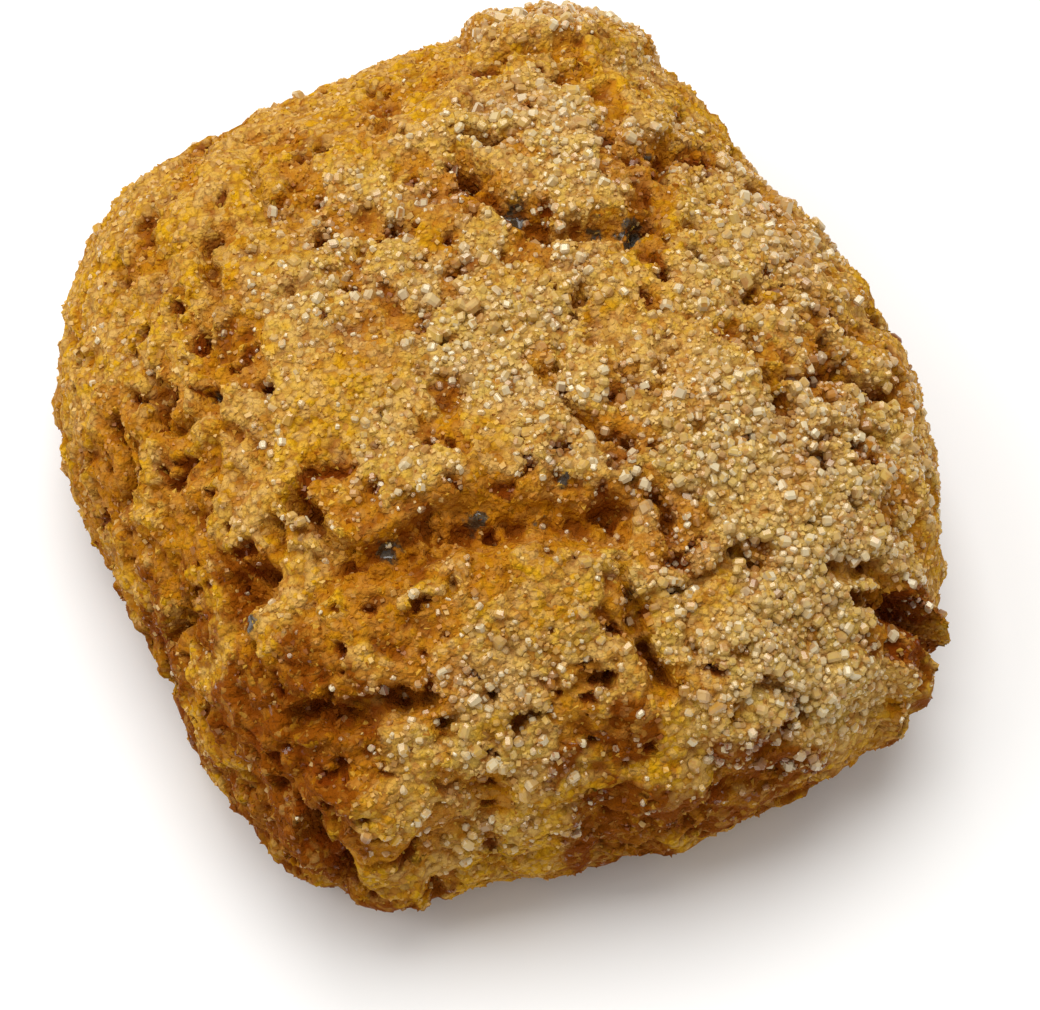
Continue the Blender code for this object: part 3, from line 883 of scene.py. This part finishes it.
def make_scatter_tree():
    tree, entry, leave = new_group(
        "scatter_on_crust",
        "GeometryNodeTree",
        [
            ("Geometry", "NodeSocketGeometry", None),
            ("Shapes", "NodeSocketCollection", None),
            ("Map", "NodeSocketString", "sugar"),
            ("Map Low", "NodeSocketFloat", 0.0),
            ("Map High", "NodeSocketFloat", 1.0),
            ("Spacing", "NodeSocketFloat", 0.0005),
            ("Density", "NodeSocketFloat", 1e6),
            ("Smallest", "NodeSocketFloat", 0.0003),
            ("Largest", "NodeSocketFloat", 0.0006),
            ("Lift", "NodeSocketFloat", 0.1),
            ("Seed", "NodeSocketInt", 0),
            ("Material", "NodeSocketMaterial", None),
        ],
        [("Geometry", "NodeSocketGeometry")],
    )
    given = entry.outputs
    kind = add_node(tree, "GeometryNodeInputNamedAttribute", {"Name": given["Map"]}, data_type="FLOAT")
    share = add_node(
        tree,
        "ShaderNodeMapRange",
        {
            "Value": kind.outputs["Attribute"],
            "From Min": given["Map Low"],
            "From Max": given["Map High"],
        },
    )
    drop = add_node(
        tree,
        "GeometryNodeDistributePointsOnFaces",
        {
            "Mesh": given["Geometry"],
            "Distance Min": given["Spacing"],
            "Density Max": given["Density"],
            "Density Factor": share.outputs["Result"],
            "Seed": given["Seed"],
        },
        distribute_method="POISSON",
    )
    chance = add_node(tree, "FunctionNodeRandomValue", {"Seed": given["Seed"]}, data_type="FLOAT")
    draw = used_output(chance)
    squared = math_node(tree, "MULTIPLY", draw, draw)
    size = add_node(
        tree,
        "ShaderNodeMapRange",
        {"Value": squared, "To Min": given["Smallest"], "To Max": given["Largest"]},
    ).outputs["Result"]
    rise = math_node(tree, "MULTIPLY", size, given["Lift"])
    offset = add_node(
        tree, "ShaderNodeVectorMath", {0: drop.outputs["Normal"], "Scale": rise}, operation="SCALE"
    )
    lifted = add_node(
        tree,
        "GeometryNodeSetPosition",
        {"Geometry": drop.outputs["Points"], "Offset": offset.outputs[0]},
    )
    shade = add_node(tree, "FunctionNodeRandomValue", {"Seed": SHADE_SEED}, data_type="FLOAT")
    kept = add_node(
        tree,
        "GeometryNodeStoreNamedAttribute",
        {"Geometry": lifted.outputs[0], "Name": "shade", "Value": used_output(shade)},
        data_type="FLOAT",
        domain="POINT",
    )
    turn = add_node(tree, "FunctionNodeRandomValue", {"Seed": TURN_SEED}, data_type="FLOAT_VECTOR")
    turn.inputs[0].default_value = (-math.pi,) * 3
    turn.inputs[1].default_value = (math.pi,) * 3
    shapes = add_node(
        tree,
        "GeometryNodeCollectionInfo",
        {"Collection": given["Shapes"], "Separate Children": True, "Reset Children": True},
    )
    placed = add_node(
        tree,
        "GeometryNodeInstanceOnPoints",
        {
            "Points": kept.outputs[0],
            "Instance": shapes.outputs[0],
            "Pick Instance": True,
            "Rotation": used_output(turn),
            "Scale": size,
        },
    )
    real = add_node(tree, "GeometryNodeRealizeInstances", {"Geometry": placed.outputs[0]})
    shade = add_node(tree, "GeometryNodeInputNamedAttribute", {"Name": "shade"}, data_type="FLOAT")
    # Painted refraction: each face gets a tone from its direction and its grain's shade.
    facet = add_node(
        tree,
        "ShaderNodeTexNoise",
        {
            "Vector": add_node(tree, "GeometryNodeInputNormal").outputs["Normal"],
            "W": math_node(tree, "MULTIPLY", shade.outputs[0], SHADE_SPREAD),
            "Scale": FACET_SCALE,
            "Detail": 0,
        },
        noise_dimensions="4D",
    )
    faceted = add_node(
        tree,
        "GeometryNodeStoreNamedAttribute",
        {"Geometry": real.outputs[0], "Name": "facet", "Value": facet.outputs[0]},
        data_type="FLOAT",
        domain="FACE",
    )
    painted = add_node(
        tree, "GeometryNodeSetMaterial", {"Geometry": faceted.outputs[0], "Material": given["Material"]}
    )
    tree.links.new(painted.outputs[0], leave.inputs["Geometry"])
    return tree


scatter_tree = make_scatter_tree()
print("scatter tree:", len(scatter_tree.nodes), "nodes")


# %% Run the tree and keep plain meshes
def scatter(name, **inputs):
    """A piece of grains on the crust, as a plain mesh with no modifier left."""
    piece = bpy.data.objects.new(name, crust.data)
    bpy.context.scene.collection.objects.link(piece)
    rule = piece.modifiers.new("scatter", "NODES")
    rule.node_group = scatter_tree
    sockets = {
        item.name: item.identifier
        for item in scatter_tree.interface.items_tree
        if item.item_type == "SOCKET" and item.in_out == "INPUT"
    }
    for label, value in inputs.items():
        rule[sockets[label.replace("_", " ")]] = value
    graph = bpy.context.evaluated_depsgraph_get()
    made = bpy.data.meshes.new_from_object(piece.evaluated_get(graph), depsgraph=graph)
    piece.modifiers.clear()
    piece.data = made
    made.name = name
    print(name, len(made.polygons), "faces")
    return piece


# %% [markdown]
# ## Sugar's finish
# Each crystal is clear, but it has soaked up syrup from the dough and lies on a brown ground,
# so it looks cream to amber. Part of its colour is the baked colour under it, the rest is
# cream, with a random share for each crystal. A clear crystal also bends the light inside it,
# so that its faces differ in tone; the tone kept on each face stands for that, and is far
# quicker to render than real glass. Smooth faces give the sharp glints.


# %% Sugar material
SUGAR_IOR = 1.55
SUGAR_GLEAM = (1.0, 0.94, 0.84, 1)
CREAM_FROM = 0.3
# The range of face tones over which painted refraction turns a face to cream.
REFRACTION_TONE_RAMP = (0.3, 0.62)


def make_sugar_material(name, cream, least, most, roughness, gloss, transmission):
    material, tree, shader = start_material(name)
    # Little painted shade in the meal's gaps under a crystal.
    baked = use_group(tree, baked_colour_and_shade, Gap_Darkness=0.1)
    shade = add_node(tree, "ShaderNodeAttribute", attribute_name="shade").outputs["Fac"]
    share = add_node(
        tree,
        "ShaderNodeMapRange",
        {"Value": shade, "From Min": CREAM_FROM, "To Min": least, "To Max": most},
        interpolation_type="SMOOTHSTEP",
    )
    facet = add_node(tree, "ShaderNodeAttribute", attribute_name="facet").outputs["Fac"]
    # Painted refraction: how much cream each face shows follows its kept tone.
    cream_with_refraction = math_node(tree, "MULTIPLY", share.outputs["Result"], ramp(tree, facet, *REFRACTION_TONE_RAMP))
    colour = mix_colour(tree, cream_with_refraction, baked.outputs["Colour"], cream)
    tree.links.new(colour, shader.inputs["Base Color"])
    shader.inputs["Roughness"].default_value = roughness
    shader.inputs["IOR"].default_value = SUGAR_IOR
    shader.inputs["Transmission Weight"].default_value = transmission
    shader.inputs["Specular IOR Level"].default_value = gloss
    shader.inputs["Specular Tint"].default_value = SUGAR_GLEAM
    return material


clear_sugar = make_sugar_material(
    "clear_sugar", cream=(0.7, 0.58, 0.36, 1), least=0.1, most=1.0,
    roughness=0.14, gloss=0.6, transmission=0.12,
)
fine_sugar = make_sugar_material(
    "fine_sugar", cream=(0.64, 0.44, 0.15, 1), least=0.0, most=0.65,
    roughness=0.45, gloss=0.35, transmission=0.0,
)
print("sugar materials:", clear_sugar.name, "and", fine_sugar.name)

# %% [markdown]
# ## The crumbs' finish
# Crumbs have the baked colour of the place they lie on, but some are darker and some lighter.
# There are fewer light ones where the crust is browned or cracked.

# %% Crumb material
DARK_CRUMB = (0.26, 0.065, 0.002, 1)
LIGHT_CRUMB = (0.62, 0.375, 0.05, 1)
CRUMB_FUZZ_SIZE, CRUMB_BUMP = 0.00016, 0.00006


def make_crumb_material():
    material, tree, shader = start_material("loose_crumb")
    # Some painted shade in the meal's gaps under a crumb.
    baked = use_group(tree, baked_colour_and_shade, Gap_Darkness=0.2)
    shade = add_node(tree, "ShaderNodeAttribute", attribute_name="shade").outputs["Fac"]
    browned = [
        add_node(tree, "ShaderNodeAttribute", attribute_name=name).outputs["Fac"]
        for name in ("rust", "opened")
    ]
    lightness = ramp(tree, math_node(tree, "MAXIMUM", *browned), 1.1, 0.2)
    lightness = math_node(tree, "ADD", math_node(tree, "MULTIPLY", lightness, 0.5), 0.2)
    dark = math_node(tree, "MULTIPLY", ramp(tree, shade, 0.35, 0.0), 0.8)
    light = math_node(tree, "MULTIPLY", ramp(tree, shade, 0.55, 1.0), lightness)
    colour = mix_colour(tree, dark, baked.outputs["Colour"], DARK_CRUMB)
    colour = mix_colour(tree, light, colour, LIGHT_CRUMB)
    tree.links.new(colour, shader.inputs["Base Color"])
    shader.inputs["Roughness"].default_value = 0.6
    fuzz = use_group(tree, fine_grain, Grain_Size=CRUMB_FUZZ_SIZE)
    add_bump(tree, shader, fuzz.outputs["Height"], CRUMB_BUMP, 0.8)
    shader.inputs["Specular IOR Level"].default_value = 0.15
    shader.inputs["Specular Tint"].default_value = WARM_GLEAM
    return material


loose_crumb = make_crumb_material()
print("crumb material:", loose_crumb.name)

# %% [markdown]
# ## Strew the sugar and the crumbs
# The tree runs four times, each time with its own shapes, map and sizes in metres. Large
# crystals lie half in the crust, the finer ones are sunk a little more, and crumbs most.

# %% Scatter sugar and crumbs
coarse = scatter(
    "sugar_coarse", Shapes=cut_crystals, Map="sugar", Map_Low=0.05, Map_High=0.75,
    Spacing=0.00042, Density=1.1e7, Smallest=0.00042, Largest=0.00078, Lift=0.0, Seed=1,
    Material=clear_sugar,
)
medium = scatter(
    "sugar_medium", Shapes=cut_crystals, Map="sugar", Map_Low=0.0, Map_High=0.75,
    Spacing=0.00025, Density=1.3e7, Smallest=0.00026, Largest=0.00045, Lift=-0.05, Seed=2,
    Material=clear_sugar,
)
fine = scatter(
    "sugar_fine", Shapes=plain_crystals, Map="sand", Map_Low=0.0, Map_High=0.8,
    Spacing=0.00018, Density=1.6e7, Smallest=0.00016, Largest=0.00032, Lift=-0.1, Seed=3,
    Material=fine_sugar,
)
crumbs = scatter(
    "crumbs", Shapes=crumb_shards, Map="crumbly", Map_Low=0.0, Map_High=1.0,
    Spacing=0.0002, Density=2.1e7, Smallest=0.0002, Largest=0.00054, Lift=-0.26, Seed=4,
    Material=loose_crumb,
)

# %% [markdown]
# ## Tie the pieces to the solid model
# Every piece moves with the cookie's one body. The crust and what is scattered on it stand for
# the plain solid, which is then hidden and kept for collision.

# %% Ride and replace
for piece in (crust, coarse, medium, fine, crumbs):
    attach(piece, "root")
    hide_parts("cookie")

# %% [markdown]
# ## Table, light and camera
# The cookie lies on a plain pale table. A large light above and behind it shows the relief, a
# soft one from the left keeps the cracks readable, and slightly warm surroundings fill the
# rest. The camera looks down from about 64 degrees, near enough that the cookie fills the
# picture.

# %% Floor
FLOOR_SIZE = 2.0
FLOOR_COLOUR = (0.86, 0.86, 0.86, 1)
FLOOR_ROUGHNESS = 0.6


def make_floor():
    plane = bmesh.new()
    bmesh.ops.create_grid(plane, x_segments=1, y_segments=1, size=FLOOR_SIZE / 2)
    mesh = bpy.data.meshes.new("floor")
    plane.to_mesh(mesh)
    plane.free()
    material, _, shader = start_material("pale_table")
    shader.inputs["Base Color"].default_value = FLOOR_COLOUR
    shader.inputs["Roughness"].default_value = FLOOR_ROUGHNESS
    mesh.materials.append(material)
    floor = bpy.data.objects.new("floor", mesh)
    bpy.context.scene.collection.objects.link(floor)
    return floor


make_floor()

# %% Light
# Each light: its place, its size in metres and its power in watts.
LIGHTS = {
    "key": ((0.0, 0.13, 0.35), 0.26, 1.06),
    "fill": ((-0.30, 0.05, 0.28), 0.30, 0.74),
}
LIT_POINT = (0, 0, 0.008)
SURROUNDINGS = (1, 0.965, 0.91, 1)
SURROUNDINGS_STRENGTH = 0.56


def aim(thing, place, target):
    """Puts a light or a camera at a place and turns it to the target."""
    thing.location = place
    thing.rotation_euler = (Vector(target) - Vector(place)).to_track_quat("-Z", "Y").to_euler()


for name, (place, size, power) in LIGHTS.items():
    lamp = bpy.data.lights.new(name, "AREA")
    lamp.size = size
    lamp.energy = power
    holder = bpy.data.objects.new(name, lamp)
    bpy.context.scene.collection.objects.link(holder)
    aim(holder, place, LIT_POINT)
    print(name, "light at", place)

world = bpy.data.worlds.new("studio")
bpy.context.scene.world = world
world.use_nodes = True
background = world.node_tree.nodes["Background"].inputs
background["Color"].default_value = SURROUNDINGS
background["Strength"].default_value = SURROUNDINGS_STRENGTH
bpy.context.scene.view_settings.view_transform = "Standard"

# %% Camera
ELEVATION = math.radians(64)
LENS = 100
SENSOR = 36
FRAME_WIDTH = 0.0469
LOOK_SHIFT = (1.22, -3.62)
LOOK_HEIGHT = 0.007
LOOK_AT = Vector(
    ((MIDDLE[0] + LOOK_SHIFT[0]) * MM, (MIDDLE[1] + LOOK_SHIFT[1]) * MM, LOOK_HEIGHT)
)

lens = bpy.data.cameras.new("camera")
lens.lens = LENS
lens.sensor_width = SENSOR
lens.sensor_fit = "HORIZONTAL"
lens.clip_start = 0.005
camera = bpy.data.objects.new("camera", lens)
bpy.context.scene.collection.objects.link(camera)
distance = FRAME_WIDTH * LENS / SENSOR
back = Vector((0, -math.cos(ELEVATION), math.sin(ELEVATION)))
aim(camera, LOOK_AT + back * distance, LOOK_AT)
bpy.context.scene.camera = camera
print("camera distance:", round(distance, 4), "m")
